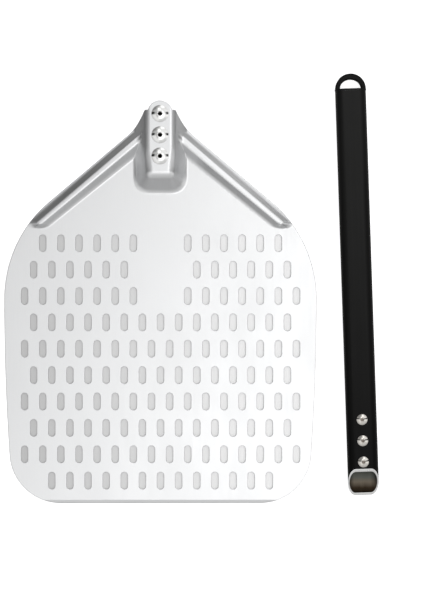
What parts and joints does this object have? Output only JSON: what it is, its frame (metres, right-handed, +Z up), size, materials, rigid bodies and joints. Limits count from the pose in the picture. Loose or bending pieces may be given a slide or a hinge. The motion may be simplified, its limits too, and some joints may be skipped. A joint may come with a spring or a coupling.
{
  "type": "pizza peel",
  "caption": "Knocked-down pizza peel: a slotted aluminium head with a pressed neck beside its black flat-oval handle, with barrel nuts and screws.",
  "frame": {"origin": "middle of the blade's underside, halfway along the head, on the plane that the head and the handle lie on", "axes": "+Y from the blade's front edge to the neck, which is also the way from the handle's cut end to its loop; +Z up out of the blade; +X from the head to the handle beside it"},
  "size_m": [0.3651, 0.4183, 0.0196],
  "materials": {
    "head_aluminium": "satin, finely brushed along the blade",
    "nut_metal": "polished nickel-plated steel",
    "handle_anodised": "black anodised, satin",
    "cap_plastic": "moulded black plastic",
    "screw_metal": "polished nickel-plated steel"
  },
  "bodies": {
    "head": {"head_blade": "head_aluminium", "head_shoulders": "head_aluminium", "head_neck_top": "head_aluminium"},
    "nut_rear": {"barrel_nut_rear": "nut_metal"},
    "nut_middle": {"barrel_nut_middle": "nut_metal"},
    "nut_front": {"barrel_nut_front": "nut_metal"},
    "handle": {"handle_tube": "handle_anodised", "end_cap": "cap_plastic"},
    "screw_rear_body": {"screw_rear": "screw_metal"},
    "screw_middle_body": {"screw_middle": "screw_metal"},
    "screw_front_body": {"screw_front": "screw_metal"}
  },
  "joints": [
    {"name": "nut_rear_lift", "type": "slide", "parent": "head", "child": "nut_rear", "axis": [0, 0, 1], "range_m": [0, 0.02]},
    {"name": "nut_middle_lift", "type": "slide", "parent": "head", "child": "nut_middle", "axis": [0, 0, 1], "range_m": [0, 0.02]},
    {"name": "nut_front_lift", "type": "slide", "parent": "head", "child": "nut_front", "axis": [0, 0, 1], "range_m": [0, 0.02]},
    {"name": "handle_lift", "type": "slide", "parent": "head", "child": "handle", "axis": [0, 0, 1], "range_m": [0, 0.1]},
    {"name": "screw_rear_lift", "type": "slide", "parent": "handle", "child": "screw_rear_body", "axis": [0, 0, 1], "range_m": [0, 0.03]},
    {"name": "screw_middle_lift", "type": "slide", "parent": "handle", "child": "screw_middle_body", "axis": [0, 0, 1], "range_m": [0, 0.03]},
    {"name": "screw_front_lift", "type": "slide", "parent": "handle", "child": "screw_front_body", "axis": [0, 0, 1], "range_m": [0, 0.03]}
  ]
}
